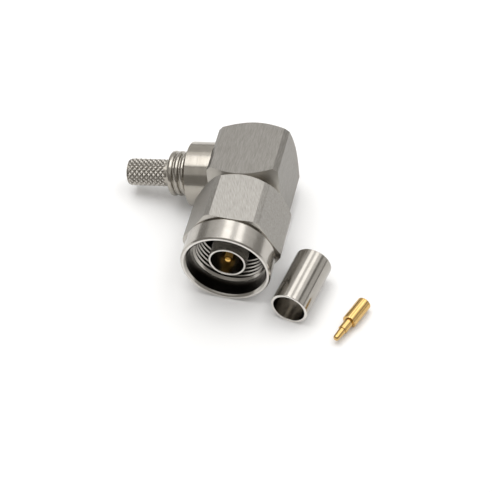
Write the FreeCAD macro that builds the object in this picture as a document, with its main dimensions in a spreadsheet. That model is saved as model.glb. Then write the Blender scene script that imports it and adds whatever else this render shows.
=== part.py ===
import FreeCAD, Part
import os
import Sketcher
from FreeCAD import Placement, Rotation, Vector

# Right-angle coaxial plug for crimping on a cable, with its loose crimp sleeve and loose cable contact.
# Millimetres. The origin is the centre of the outer contact's front face, on the mating axis.
# The mouth looks along -Y, depths grow along +Y, the cable arm points to -X and +Z is up.
# The plug lies on the front ring of its nut, leaning over on the arm's side by body_roll.

# Alias, size and note of each row of the sheet. A size that starts with = is a formula cell, which
# follows the sizes that it names.
SIZES = [
    # How the pieces lie
    ("body_roll", 10.0, "lean of the elbow about the mating axis, degrees"),
    ("slip_gap", 0.02, "radial clearance of a piece that is slipped into a bore"),
    ("running_gap", 0.06, "radial clearance of the nut on the shell"),
    ("ring_play", 0.1, "clearance of the nut around the retaining ring"),
    # Mating interface
    ("contact_diameter", 8.1, "outside of the outer contact"),
    ("contact_wall", 0.55, "wall of the outer contact"),
    ("contact_bore", "=contact_diameter - 2 * contact_wall", "inside of the outer contact"),
    ("contact_length", 10.6, "outer contact, from its front face to the gasket seat"),
    ("contact_chamfer", 0.16, "edge break at the outer contact's front"),
    ("pin_diameter", 1.65, "front of the centre pin"),
    ("pin_recess", 0.5, "pin tip behind the outer contact's front"),
    ("pin_taper", 0.5, "length of the taper at the pin's tip"),
    ("pin_tip", 0.8, "diameter at the end of the pin's taper"),
    ("pin_shoulder", 5.6, "depth of the step to the thick part of the pin"),
    ("pin_body", 3.04, "thick part of the centre pin"),
    ("thread_major", 15.875, "coupling thread, major diameter"),
    ("thread_height", 0.5075, "height of the thread's turns"),
    ("thread_minor", "=thread_major - 2 * thread_height", "coupling thread, minor diameter"),
    ("seat_room", 0.4, "from the gasket's seat to the end of the nut's runout groove"),
    ("thread_length", "=contact_length + seat_room + nut_overhang - mouth_depth - runout_length",
     "threaded stretch of the nut"),
    # Coupling nut
    ("flat_wall", 1.5625, "wall from the thread's roots to the flats"),
    ("nut_flats", "=thread_major + 2 * flat_wall", "across the flats of the hexagon"),
    ("corner_rise", 1.1, "turned corners of the hexagon above its flats"),
    ("nut_corners", "=nut_flats + 2 * corner_rise", "across the turned corners of the hexagon"),
    ("nut_overhang", 1.8, "nut's rim ahead of the outer contact's front"),
    ("rim_wall", 1.2, "wall of the nut's rim"),
    ("nut_front", "=mouth_diameter + 2 * rim_wall", "plain round front of the nut"),
    ("nut_front_length", 5.15, "length of the plain front"),
    ("rim_outer_chamfer", 0.3, "outer edge of the rim"),
    ("rim_inner_chamfer", 0.45, "inner edge of the rim"),
    ("mouth_step", 0.5625, "step from the thread's roots to the counterbore"),
    ("mouth_diameter", "=thread_major + 2 * mouth_step", "counterbore in the nut's mouth"),
    ("mouth_depth", 3.6, "depth of that counterbore"),
    ("relief_depth", 0.55, "depth of the turned groove between the plain front and the hexagon"),
    ("relief_diameter", "=nut_front - 2 * relief_depth", "floor of that groove"),
    ("relief_width", 0.6, "width of that groove"),
    ("rear_wall", 1.75, "nut behind the groove of its retaining ring"),
    ("hex_length", "=ring_depth + ring_width + ring_play + rear_wall + nut_overhang"
     " - nut_front_length - relief_width", "length of the hexagon"),
    ("hex_front_angle", 11.0, "slope of the hexagon's front face, degrees"),
    ("hex_rear_angle", 45.0, "chamfer at the hexagon's rear, degrees"),
    ("rear_face_step", 0.3, "step from the flats to the edge of the rear face"),
    ("hex_rear_face", "=nut_flats - 2 * rear_face_step", "diameter of the flat rear face"),
    ("runout_depth", 0.1625, "depth of the runout groove past the thread's roots"),
    ("runout_diameter", "=thread_major + 2 * runout_depth", "thread runout groove in the nut"),
    ("runout_length", 2.2, "length of the runout groove"),
    # Shell, retaining ring and gasket
    ("journal_step", 1.0, "shoulder between the journal and the spigot"),
    ("journal_diameter", "=shell_spigot + 2 * journal_step", "shell, where the nut turns on it"),
    ("spigot_wall", 1.3, "wall of the spigot"),
    ("shell_spigot", "=insulator_diameter + 2 * spigot_wall", "shell, where the elbow grips it"),
    ("shell_spigot_length", "=arm_depth - elbow_front - pin_head_length / 2 - head_gap"
     " + insulator_end_gap", "length of the pressed stretch"),
    ("insulator_shoulder", 0.7, "shoulder between the outer contact's bore and the insulator"),
    ("insulator_diameter", "=contact_bore + 2 * insulator_shoulder", "seat of the front insulator"),
    ("insulator_setback", 1.0, "front face of the insulator behind the gasket's seat"),
    ("insulator_depth", "=contact_length + insulator_setback", "front face of the insulator"),
    ("insulator_end_gap", 0.45, "insulator's rear face inside the shell's end"),
    ("ring_setback", 3.65, "front face of the retaining ring behind the gasket's seat"),
    ("ring_depth", "=contact_length + ring_setback", "front face of the retaining ring"),
    ("ring_width", 1.0, "width of the retaining ring"),
    ("ring_sink", 0.65, "retaining ring inside the journal"),
    ("ring_inner", "=journal_diameter - 2 * ring_sink", "inside of the retaining ring"),
    ("ring_rise", 0.5, "retaining ring outside the journal"),
    ("ring_outer", "=journal_diameter + 2 * ring_rise", "outside of the retaining ring"),
    ("ring_opening", 2.4, "width of the gap in the retaining ring"),
    ("gasket_thickness", 1.4, "sealing gasket"),
    ("gasket_room", 0.23, "room between the gasket and the thread"),
    ("gasket_outer", "=thread_minor - 2 * gasket_room", "outside of the gasket"),
    ("gasket_clearance", 0.95, "room between the outer contact and the gasket"),
    ("gasket_inner", "=contact_diameter + 2 * gasket_clearance", "inside of the gasket"),
    # Elbow
    ("elbow_gap", 1.15, "from the nut's rear face to the elbow"),
    ("elbow_front", "=ring_depth + ring_width + ring_play + rear_wall + elbow_gap",
     "depth of the elbow's front face"),
    ("elbow_width", 16.0, "square section of the elbow"),
    ("elbow_bevel", 1.0, "bevel along the four long edges"),
    ("elbow_length", "=arm_depth - elbow_front + pin_head_length / 2 + head_room"
     " + cap_insulator_thickness + cap_thickness", "length of the elbow"),
    ("elbow_end_angle", 32.0, "slope of the turned ends, degrees"),
    ("end_face_step", 0.4, "step from the elbow's sides to the edge of its end faces"),
    ("elbow_end_face", "=elbow_width - 2 * end_face_step", "diameter of the flat on each end"),
    ("collar_clearance", 1.4, "from the nut's rear face to the cable stub's collar"),
    ("arm_depth", "=elbow_front - elbow_gap + collar_clearance + collar_diameter / 2",
     "depth of the cable arm's axis"),
    ("cap_ledge", 1.8, "ledge around the insulator's seat that the cap lies on"),
    ("cap_diameter", "=insulator_diameter + 2 * cap_ledge", "closing cap in the elbow's rear"),
    ("cap_thickness", 2.0, "thickness of the closing cap"),
    ("cap_chamfer", 0.3, "edge of the closing cap"),
    ("cap_insulator_thickness", 2.6, "insulator under the cap"),
    ("pin_head", 4.2, "head of the centre pin, crossed by the socket"),
    ("pin_head_length", 5.4, "length of the head"),
    ("head_gap", 0.05, "from the front insulator to the pin's head"),
    ("head_room", 1.5, "from the pin's head to the insulator under the cap"),
    # Cable arm
    ("stub_spigot", 10.0, "cable stub, where it is pressed into the elbow"),
    ("stub_gap", 0.1, "from the shell's spigot to the cable stub"),
    ("stub_spigot_length", "=elbow_width / 2 - shell_spigot / 2 - stub_gap",
     "length of the pressed stretch"),
    ("collar_diameter", 14.3, "collar against the elbow"),
    ("collar_length", 5.7, "length of the collar"),
    ("collar_edge", 0.25, "rounding of the collar's edges"),
    ("rib_diameter", 10.0, "ribbed stretch"),
    ("rib_start", 0.48, "plain stretch between the collar and the first groove"),
    ("rib_pitch", 1.34, "from groove to groove"),
    ("rib_length", "=rib_start + 3 * rib_pitch + rib_groove_width / 2",
     "length of the ribbed stretch"),
    ("rib_groove_width", 0.4, "width of a groove"),
    ("rib_groove_depth", 0.4, "depth of a groove"),
    ("rib_edge", 0.28, "rounding of the ribs"),
    ("neck_diameter", 5.6, "plain neck before the knurl"),
    ("neck_length", 1.0, "length of the neck"),
    ("barrel_diameter", 6.2, "knurled crimp barrel, over the knurl"),
    ("barrel_length", 9.1, "length of the crimp barrel"),
    ("barrel_edge", 0.45, "rounding of the barrel's end"),
    ("cable_bore", 4.2, "bore for the cable's dielectric"),
    ("socket_diameter", 2.6, "receptacle for the cable contact"),
    ("socket_bore", 1.7, "bore of the receptacle"),
    ("socket_bore_depth", 6.0, "depth of that bore"),
    ("socket_reach", 7.0, "mouth of the receptacle, from the mating axis"),
    ("socket_tail", 1.9, "receptacle past the mating axis"),
    ("socket_slot", 0.35, "width of the receptacle's slots"),
    ("socket_slot_length", 3.4, "length of the slots"),
    ("arm_insulator_diameter", 7.0, "insulator in the cable stub"),
    ("arm_insulator_end_gap", 0.3, "insulator's inner face behind the stub's end"),
    ("arm_insulator_length", 6.7, "length of that insulator"),
    ("arm_insulator_step", 1.0, "insulator's narrow hole past the receptacle's mouth"),
    ("spring_room", 0.1, "room around the receptacle's fingers"),
    # Loose crimp sleeve
    ("sleeve_diameter", 8.2, "outside of the crimp sleeve"),
    ("sleeve_wall", 0.6, "wall of the crimp sleeve"),
    ("sleeve_length", 14.0, "length of the crimp sleeve"),
    ("sleeve_chamfer", 0.15, "edges of the crimp sleeve"),
    ("sleeve_x", 14.3, "near end of the sleeve, across the mating axis"),
    ("sleeve_y", -5.0, "near end of the sleeve, along the mating axis"),
    ("sleeve_yaw", 11.0, "turn of the sleeve on the floor, degrees"),
    # Loose cable contact
    ("cable_contact_barrel", 3.15, "rear barrel of the cable contact"),
    ("cable_contact_barrel_length", 6.2, "length of the barrel"),
    ("cable_contact_shank", 2.0, "middle of the cable contact"),
    ("cable_contact_shank_length", 2.65, "length of the middle"),
    ("cable_contact_tip", 1.62, "tip of the cable contact"),
    ("cable_contact_tip_end", 1.36, "tip where its taper ends"),
    ("cable_contact_tip_length", 2.9, "length of the tip"),
    ("cable_contact_nose", 0.6, "rounding of the contact's nose"),
    ("cable_contact_edge", 0.2, "rounding of the barrel's edges"),
    ("cable_contact_bore", 1.5, "bore for the cable's conductor"),
    ("cable_contact_bore_depth", 5.0, "depth of that bore"),
    ("cable_contact_x", 25.0, "tip of the contact, across the mating axis"),
    ("cable_contact_y", -8.9, "tip of the contact, along the mating axis"),
    ("cable_contact_yaw", 21.5, "turn of the contact on the floor, degrees"),
]

UPRIGHT, DOWN = Vector(0, 0, 1), Vector(0, 0, -1)
TO_MOUTH, TO_REAR = Vector(0, -1, 0), Vector(0, 1, 0)
CUT_MARGIN = 2.0

doc = FreeCAD.newDocument("CoaxialPlug")
sheet = doc.addObject("Spreadsheet::Sheet", "Sizes")
for row, (alias, size, note) in enumerate(SIZES, start=1):
    sheet.set(f"A{row}", note)
    sheet.setAlias(f"B{row}", alias)
for row, (alias, size, note) in enumerate(SIZES, start=1):
    sheet.set(f"B{row}", str(size))
doc.recompute()


def bound(text):
    """Expression on the sheet, from a formula that names its aliases."""
    words = {alias for alias, size, note in SIZES}
    out, word = "", ""
    for letter in text + " ":
        if letter.isalnum() or letter == "_":
            word += letter
            continue
        out += ("Sizes." + word if word in words else word) + letter
        word = ""
    return out.strip()


def value(text):
    """What a formula comes to now."""
    return float(sheet.evalExpression(bound(text)))


def new_body(label):
    body = doc.addObject("PartDesign::Body", label)
    body.Label = label
    return body


def origin_plane(body, role):
    return next(item for item in body.Origin.OriginFeatures if item.Role == role)


def new_sketch(body, name, role, offset=None):
    """Empty sketch on one of the body's own planes, moved along the plane's normal."""
    sketch = body.newObject("Sketcher::SketchObject", name)
    sketch.AttachmentSupport = (origin_plane(body, role), [""])
    sketch.MapMode = "FlatFace"
    if offset is not None:
        sketch.setExpression("AttachmentOffset.Base.z", bound(offset))
    return sketch


def pin_coordinate(sketch, kind, edge, formula, at):
    """Holds one coordinate of the start of an edge, or of a circle's centre, on its formula."""
    end = 3 if kind.startswith("Centre") else 1
    axis = -2 if kind.endswith("X") else -1
    if formula == "0":
        sketch.addConstraint(Sketcher.Constraint("PointOnObject", edge, end, axis))
        return
    number = sketch.addConstraint(Sketcher.Constraint("Distance" + kind[-1], -1, 1, edge, end, at))
    sketch.setExpression(f"Constraints[{number}]", bound(formula))


def outline(body, name, role, corners, offset=None):
    """Closed outline of straight edges whose corners are pairs of formulas."""
    sketch = new_sketch(body, name, role, offset)
    points = [Vector(value(u), value(v), 0) for u, v in corners]
    count = len(points)
    for index in range(count):
        sketch.addGeometry(Part.LineSegment(points[index], points[(index + 1) % count]), False)
    for index in range(count):
        sketch.addConstraint(Sketcher.Constraint("Coincident", index, 2, (index + 1) % count, 1))
    for index, (u, v) in enumerate(corners):
        pin_coordinate(sketch, "StartX", index, u, points[index].x)
        pin_coordinate(sketch, "StartY", index, v, points[index].y)
    return sketch


def circle(body, name, role, across, up, diameter, offset=None):
    """One circle, its centre and diameter given as formulas."""
    sketch = new_sketch(body, name, role, offset)
    centre = Vector(value(across), value(up), 0)
    sketch.addGeometry(Part.Circle(centre, Vector(0, 0, 1), value(diameter) / 2), False)
    pin_coordinate(sketch, "CentreX", 0, across, centre.x)
    pin_coordinate(sketch, "CentreY", 0, up, centre.y)
    number = sketch.addConstraint(Sketcher.Constraint("Diameter", 0, value(diameter)))
    sketch.setExpression(f"Constraints[{number}]", bound(diameter))
    return sketch


def feature(body, kind, name, sketch):
    made = body.newObject("PartDesign::" + kind, name)
    made.Profile = sketch
    sketch.Visibility = False
    return made


def turned(body, name, corners, axis="V_Axis"):
    """Solid of revolution. Corners are (radius, depth) about V_Axis, (depth, radius) about H_Axis."""
    made = feature(body, "Revolution", name, outline(body, name + "Outline", "XY_Plane", corners))
    made.ReferenceAxis = (made.Profile[0], [axis])
    made.Angle = 360
    return made


def turned_cut(body, name, corners, axis="V_Axis"):
    """Revolved cut, whose effect on the volume is checked."""
    doc.recompute()
    before = body.Shape.Volume
    made = feature(body, "Groove", name, outline(body, name + "Outline", "XY_Plane", corners))
    made.ReferenceAxis = (made.Profile[0], [axis])
    made.Angle = 360
    doc.recompute()
    if not body.Shape.Volume < before:
        raise ValueError(f"{name} cuts nothing")
    return made


def pocket(body, name, sketch, length, reverse=False, both_ways=False):
    """Straight cut, whose effect on the volume is checked."""
    doc.recompute()
    before = body.Shape.Volume
    made = feature(body, "Pocket", name, sketch)
    made.setExpression("Length", bound(length))
    made.Reversed = reverse
    if both_ways:
        made.SideType = "Symmetric"
    doc.recompute()
    if not body.Shape.Volume < before:
        raise ValueError(f"{name} cuts nothing")
    return made


def round_edges(body, name, size, wanted):
    """Fillet on the circular edges that the test picks by radius and place on their axis."""
    doc.recompute()
    base = body.Tip
    names = []
    for number, edge in enumerate(base.Shape.Edges, start=1):
        if isinstance(edge.Curve, Part.Circle) and wanted(edge.Curve.Radius, edge.Curve.Center):
            names.append(f"Edge{number}")
    made = body.newObject("PartDesign::Fillet", name)
    made.Base = (base, names)
    made.setExpression("Radius", bound(size))
    doc.recompute()
    return made


def near(first, second):
    return abs(first - second) < 1e-4


def place(body, x="0", y="0", z="0", axis=None, angle=None):
    """Puts the body at its formulas, turned about one axis by one formula in degrees."""
    if axis is not None:
        body.Placement = Placement(Vector(0, 0, 0), Rotation(axis, value(angle)))
        body.setExpression("Placement.Rotation.Angle", bound(angle))
    for letter, formula in (("x", x), ("y", y), ("z", z)):
        if formula != "0":
            body.setExpression("Placement.Base." + letter, bound(formula))


# Depths along the mating axis that several pieces share
NUT_LENGTH = "(nut_front_length + relief_width + hex_length)"
RING_GROOVE_START = "(ring_depth - ring_play)"
RING_GROOVE_END = "(ring_depth + ring_width + ring_play)"
NUT_BORE = "(journal_diameter / 2 + running_gap)"
SHELL_END = "(elbow_front + shell_spigot_length)"
INSULATOR_END = "(elbow_front + shell_spigot_length - insulator_end_gap)"
STUB_START = "(elbow_width / 2 - stub_spigot_length)"
COLLAR_END = "(elbow_width / 2 + collar_length)"
RIBS_END = "(elbow_width / 2 + collar_length + rib_length)"
BARREL_START = "(elbow_width / 2 + collar_length + rib_length + neck_length)"
BARREL_END = "(elbow_width / 2 + collar_length + rib_length + neck_length + barrel_length)"
ARM_INSULATOR_START = "(elbow_width / 2 - stub_spigot_length + arm_insulator_end_gap)"
ARM_INSULATOR_END = ("(elbow_width / 2 - stub_spigot_length + arm_insulator_end_gap"
                     " + arm_insulator_length)")
FLOOR = "(-nut_front / 2)"


def hexagon(size):
    """Corners of a hexagon that has a flat up, from the distance across its flats."""
    corner, half_side, flat = f"{size} / 2 / cos(30 deg)", f"{size} / 4 / cos(30 deg)", f"{size} / 2"
    return [(corner, "0"), (half_side, flat), ("-" + half_side, flat),
            ("-" + corner, "0"), ("-" + half_side, "-" + flat), (half_side, "-" + flat)]


def make_coupling_nut():
    """Hexagon nut with a plain turned front, a deep mouth and the coupling thread's bore."""
    body = new_body("coupling_nut")
    hex_start = "(nut_front_length + relief_width)"
    turned(body, "Front", [
        ("0", "0"),
        ("nut_front / 2 - rim_outer_chamfer", "0"),
        ("nut_front / 2", "rim_outer_chamfer"),
        ("nut_front / 2", "nut_front_length"),
        ("relief_diameter / 2", "nut_front_length"),
        ("relief_diameter / 2", hex_start),
        ("0", hex_start),
    ])
    bar = feature(body, "Pad", "Hexagon",
                  outline(body, "HexagonOutline", "XZ_Plane", hexagon("nut_flats"), "-" + hex_start))
    bar.setExpression("Length", bound("hex_length"))
    bar.Reversed = True
    outside = f"nut_corners / 2 + {CUT_MARGIN}"
    turned_cut(body, "HexagonEnds", [
        ("relief_diameter / 2", hex_start),
        ("nut_corners / 2",
         hex_start + " + (nut_corners - relief_diameter) / 2 * tan(hex_front_angle * 1 deg)"),
        ("nut_corners / 2",
         NUT_LENGTH + " - (nut_corners - hex_rear_face) / 2 * tan(hex_rear_angle * 1 deg)"),
        ("hex_rear_face / 2", NUT_LENGTH),
        (outside, NUT_LENGTH),
        (outside, hex_start),
    ])
    thread_end = "(mouth_depth + thread_length)"
    turned_cut(body, "Bore", [
        ("0", "0"),
        ("mouth_diameter / 2 + rim_inner_chamfer", "0"),
        ("mouth_diameter / 2", "rim_inner_chamfer"),
        ("mouth_diameter / 2", "mouth_depth"),
        ("thread_major / 2", "mouth_depth"),
        ("thread_minor / 2", "mouth_depth + (thread_major - thread_minor) / 2"),
        ("thread_minor / 2", thread_end),
        ("runout_diameter / 2", thread_end),
        ("runout_diameter / 2", thread_end + " + runout_length"),
        (NUT_BORE, thread_end + " + runout_length"),
        (NUT_BORE, RING_GROOVE_START + " + nut_overhang"),
        ("ring_outer / 2 + ring_play", RING_GROOVE_START + " + nut_overhang"),
        ("ring_outer / 2 + ring_play", RING_GROOVE_END + " + nut_overhang"),
        (NUT_BORE, RING_GROOVE_END + " + nut_overhang"),
        (NUT_BORE, NUT_LENGTH),
        ("0", NUT_LENGTH),
    ])
    place(body, y="-nut_overhang")
    return body


def make_plug_shell():
    """Outer contact, gasket seat, journal for the nut and spigot, turned from one piece."""
    body = new_body("plug_shell")
    turned(body, "Shell", [
        ("contact_bore / 2 + contact_chamfer", "0"),
        ("contact_diameter / 2 - contact_chamfer", "0"),
        ("contact_diameter / 2", "contact_chamfer"),
        ("contact_diameter / 2", "contact_length"),
        ("journal_diameter / 2", "contact_length"),
        ("journal_diameter / 2", RING_GROOVE_START),
        ("ring_inner / 2 - slip_gap", RING_GROOVE_START),
        ("ring_inner / 2 - slip_gap", RING_GROOVE_END),
        ("journal_diameter / 2", RING_GROOVE_END),
        ("journal_diameter / 2", "elbow_front"),
        ("shell_spigot / 2", "elbow_front"),
        ("shell_spigot / 2", SHELL_END),
        ("insulator_diameter / 2", SHELL_END),
        ("insulator_diameter / 2", "insulator_depth"),
        ("contact_bore / 2", "insulator_depth"),
        ("contact_bore / 2", "contact_chamfer"),
    ])
    return body


def make_retaining_ring():
    """Open spring ring that holds the nut on the shell."""
    body = new_body("retaining_ring")
    turned(body, "Ring", [
        ("ring_inner / 2", "0"),
        ("ring_outer / 2", "0"),
        ("ring_outer / 2", "ring_width"),
        ("ring_inner / 2", "ring_width"),
    ])
    opening = outline(body, "OpeningOutline", "XZ_Plane", [
        ("-ring_opening / 2", "0"),
        ("ring_opening / 2", "0"),
        ("ring_opening / 2", "ring_outer"),
        ("-ring_opening / 2", "ring_outer"),
    ])
    pocket(body, "Opening", opening, "ring_width * 3", both_ways=True)
    place(body, y="ring_depth")
    return body


def make_gasket():
    """Flat sealing ring on the shell, behind the outer contact."""
    body = new_body("interface_gasket")
    turned(body, "Gasket", [
        ("gasket_inner / 2", "0"),
        ("gasket_outer / 2", "0"),
        ("gasket_outer / 2", "gasket_thickness"),
        ("gasket_inner / 2", "gasket_thickness"),
    ])
    place(body, y="contact_length - gasket_thickness")
    return body


def make_front_insulator():
    """Insulating sleeve that centres the pin in the shell."""
    body = new_body("front_insulator")
    turned(body, "Sleeve", [
        ("pin_body / 2", "insulator_depth"),
        ("insulator_diameter / 2 - slip_gap", "insulator_depth"),
        ("insulator_diameter / 2 - slip_gap", INSULATOR_END),
        ("pin_body / 2", INSULATOR_END),
    ])
    return body


def make_center_pin():
    """Centre pin, with a head at the corner that the cable's receptacle crosses."""
    body = new_body("center_pin")
    head_start = "(arm_depth - pin_head_length / 2)"
    head_end = "(arm_depth + pin_head_length / 2)"
    turned(body, "Pin", [
        ("0", "pin_recess"),
        ("pin_tip / 2", "pin_recess"),
        ("pin_diameter / 2", "pin_recess + pin_taper"),
        ("pin_diameter / 2", "pin_shoulder"),
        ("pin_body / 2", "pin_shoulder"),
        ("pin_body / 2", head_start),
        ("pin_head / 2", head_start),
        ("pin_head / 2", head_end),
        ("0", head_end),
    ])
    crossing = circle(body, "CrossBoreOutline", "YZ_Plane", "arm_depth", "0", "socket_diameter")
    pocket(body, "CrossBore", crossing, "pin_head * 2", both_ways=True)
    place(body, axis=TO_MOUTH, angle="body_roll")
    return body


def make_elbow_body():
    """Square bar with bevelled edges and turned ends, bored for the shell, the stub and the cap."""
    body = new_body("elbow_body")
    half, edge = "elbow_width / 2", "(elbow_width / 2 - elbow_bevel)"
    section = [(edge, half), ("-" + edge, half), ("-" + half, edge), ("-" + half, "-" + edge),
               ("-" + edge, "-" + half), (edge, "-" + half), (half, "-" + edge), (half, edge)]
    bar = feature(body, "Pad", "Bar", outline(body, "BarOutline", "XZ_Plane", section))
    bar.setExpression("Length", bound("elbow_length"))
    bar.Reversed = True
    outside = f"(elbow_width + {CUT_MARGIN})"
    rise = f"({outside} - elbow_end_face / 2) * tan(elbow_end_angle * 1 deg)"
    turned_cut(body, "FrontEnd", [
        ("elbow_end_face / 2", "0"), (outside, rise), (outside, "0"),
    ])
    turned_cut(body, "RearEnd", [
        ("elbow_end_face / 2", "elbow_length"), (outside, "elbow_length - " + rise),
        (outside, "elbow_length"),
    ])
    cap_seat = "(elbow_length - cap_thickness)"
    turned_cut(body, "Bore", [
        ("0", "0"),
        ("shell_spigot / 2", "0"),
        ("shell_spigot / 2", "shell_spigot_length"),
        ("insulator_diameter / 2", "shell_spigot_length"),
        ("insulator_diameter / 2", cap_seat),
        ("cap_diameter / 2", cap_seat),
        ("cap_diameter / 2", "elbow_length"),
        ("0", "elbow_length"),
    ])
    arm = "arm_depth - elbow_front"
    seat = circle(body, "StubSeatOutline", "YZ_Plane", arm, "0", "stub_spigot", "-elbow_width / 2")
    pocket(body, "StubSeat", seat, "stub_spigot_length", reverse=True)
    way = circle(body, "StubWayOutline", "YZ_Plane", arm, "0", "arm_insulator_diameter",
                 "-elbow_width / 2")
    pocket(body, "StubWay", way, "elbow_width / 2", reverse=True)
    place(body, y="elbow_front", axis=TO_MOUTH, angle="body_roll")
    return body


def make_rear_cap():
    """Round cap pressed into the elbow's rear end."""
    body = new_body("rear_cap")
    turned(body, "Cap", [
        ("0", "0"),
        ("cap_diameter / 2", "0"),
        ("cap_diameter / 2", "cap_thickness - cap_chamfer"),
        ("cap_diameter / 2 - cap_chamfer", "cap_thickness"),
        ("0", "cap_thickness"),
    ])
    place(body, y="elbow_front + elbow_length - cap_thickness")
    return body


def make_cap_insulator():
    """Insulating disc between the pin's head and the cap."""
    body = new_body("cap_insulator")
    turned(body, "Disc", [
        ("0", "0"),
        ("insulator_diameter / 2 - slip_gap", "0"),
        ("insulator_diameter / 2 - slip_gap", "cap_insulator_thickness"),
        ("0", "cap_insulator_thickness"),
    ])
    place(body, y="elbow_front + elbow_length - cap_thickness - cap_insulator_thickness")
    return body


def place_on_arm(body):
    """Turns the body's +X to the cable arm's direction."""
    place(body, y="arm_depth", axis=TO_REAR, angle="180 - body_roll")


def make_crimp_stub():
    """Collar, ribs, neck and crimp barrel in one turned piece, pressed into the elbow's side."""
    body = new_body("crimp_stub")
    groove_floor = "rib_diameter / 2 - rib_groove_depth"
    corners = [
        (STUB_START, "arm_insulator_diameter / 2"),
        (STUB_START, "stub_spigot / 2"),
        ("elbow_width / 2", "stub_spigot / 2"),
        ("elbow_width / 2", "collar_diameter / 2"),
        (COLLAR_END, "collar_diameter / 2"),
        (COLLAR_END, "rib_diameter / 2"),
    ]
    for groove in (3, 2, 1):
        middle = f"({RIBS_END} - {groove} * rib_pitch)"
        corners += [
            (middle + " - rib_groove_width / 2", "rib_diameter / 2"),
            (middle + " - rib_groove_width / 2", groove_floor),
            (middle + " + rib_groove_width / 2", groove_floor),
            (middle + " + rib_groove_width / 2", "rib_diameter / 2"),
        ]
    corners += [
        (RIBS_END, "rib_diameter / 2"),
        (RIBS_END, "neck_diameter / 2"),
        (BARREL_START, "neck_diameter / 2"),
        (BARREL_START, "barrel_diameter / 2"),
        (BARREL_END, "barrel_diameter / 2"),
        (BARREL_END, "cable_bore / 2"),
        (ARM_INSULATOR_END, "cable_bore / 2"),
        (ARM_INSULATOR_END, "arm_insulator_diameter / 2"),
    ]
    turned(body, "Stub", corners, axis="H_Axis")
    collar, rib = value("collar_diameter") / 2, value("rib_diameter") / 2
    barrel, collar_end = value("barrel_diameter") / 2, value(COLLAR_END)
    barrel_end = value(BARREL_END)
    round_edges(body, "CollarEdges", "collar_edge", lambda radius, centre: near(radius, collar))
    round_edges(body, "RibEdges", "rib_edge",
                lambda radius, centre: near(radius, rib) and centre.x > collar_end + 0.1)
    round_edges(body, "BarrelEdge", "barrel_edge",
                lambda radius, centre: near(radius, barrel) and near(centre.x, barrel_end))
    place_on_arm(body)
    return body


def make_elbow_socket():
    """Slotted receptacle that takes the cable contact."""
    body = new_body("elbow_socket")
    turned(body, "Socket", [
        ("-socket_tail", "0"),
        ("-socket_tail", "socket_diameter / 2"),
        ("socket_reach", "socket_diameter / 2"),
        ("socket_reach", "socket_bore / 2"),
        ("socket_reach - socket_bore_depth", "socket_bore / 2"),
        ("socket_reach - socket_bore_depth", "0"),
    ], axis="H_Axis")
    slot = outline(body, "SlotOutline", "XY_Plane", [
        ("socket_reach - socket_slot_length", "-socket_slot / 2"),
        ("socket_reach * 2", "-socket_slot / 2"),
        ("socket_reach * 2", "socket_slot / 2"),
        ("socket_reach - socket_slot_length", "socket_slot / 2"),
    ])
    cut = pocket(body, "Slot", slot, "socket_diameter * 2", both_ways=True)
    slots = body.newObject("PartDesign::PolarPattern", "Slots")
    slots.Originals = [cut]
    slots.Axis = (origin_plane(body, "X_Axis"), [""])
    slots.Angle = 180
    slots.Occurrences = 2
    body.Tip = slots
    place_on_arm(body)
    return body


def make_arm_insulator():
    """Insulating sleeve in the stub, around the receptacle and the cable contact."""
    body = new_body("arm_insulator")
    outer = "arm_insulator_diameter / 2 - slip_gap"
    narrow = "socket_diameter / 2 + spring_room"
    wide = "cable_contact_barrel / 2 + slip_gap"
    step = "socket_reach + arm_insulator_step"
    turned(body, "Sleeve", [
        (ARM_INSULATOR_START, narrow),
        (ARM_INSULATOR_START, outer),
        (ARM_INSULATOR_END, outer),
        (ARM_INSULATOR_END, wide),
        (step, wide),
        (step, narrow),
    ], axis="H_Axis")
    place_on_arm(body)
    return body


def make_crimp_ferrule():
    """Thin crimp sleeve, lying loose on its side."""
    body = new_body("crimp_ferrule")
    inner = "(sleeve_diameter / 2 - sleeve_wall)"
    turned(body, "Sleeve", [
        (inner, "0"),
        ("sleeve_diameter / 2 - sleeve_chamfer", "0"),
        ("sleeve_diameter / 2", "sleeve_chamfer"),
        ("sleeve_diameter / 2", "sleeve_length - sleeve_chamfer"),
        ("sleeve_diameter / 2 - sleeve_chamfer", "sleeve_length"),
        (inner, "sleeve_length"),
    ])
    place(body, "sleeve_x", "sleeve_y", FLOOR + " + sleeve_diameter / 2", DOWN, "sleeve_yaw")
    return body


def make_cable_contact():
    """Contact for the cable's conductor, lying loose on its barrel."""
    body = new_body("cable_contact")
    shank_end = "(cable_contact_tip_length + cable_contact_shank_length)"
    length = ("(cable_contact_tip_length + cable_contact_shank_length"
              " + cable_contact_barrel_length)")
    turned(body, "Contact", [
        ("0", "0"),
        ("cable_contact_tip_end / 2", "0"),
        ("cable_contact_tip / 2", "cable_contact_tip_length"),
        ("cable_contact_shank / 2", "cable_contact_tip_length"),
        ("cable_contact_shank / 2", shank_end),
        ("cable_contact_barrel / 2", shank_end),
        ("cable_contact_barrel / 2", length),
        ("cable_contact_bore / 2", length),
        ("cable_contact_bore / 2", length + " - cable_contact_bore_depth"),
        ("0", length + " - cable_contact_bore_depth"),
    ])
    barrel, tip_end = value("cable_contact_barrel") / 2, value("cable_contact_tip_end") / 2
    round_edges(body, "Nose", "cable_contact_nose", lambda radius, centre: near(radius, tip_end))
    round_edges(body, "Edges", "cable_contact_edge", lambda radius, centre: near(radius, barrel))
    place(body, "cable_contact_x", "cable_contact_y", FLOOR + " + cable_contact_barrel / 2",
          DOWN, "cable_contact_yaw")
    return body


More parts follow.
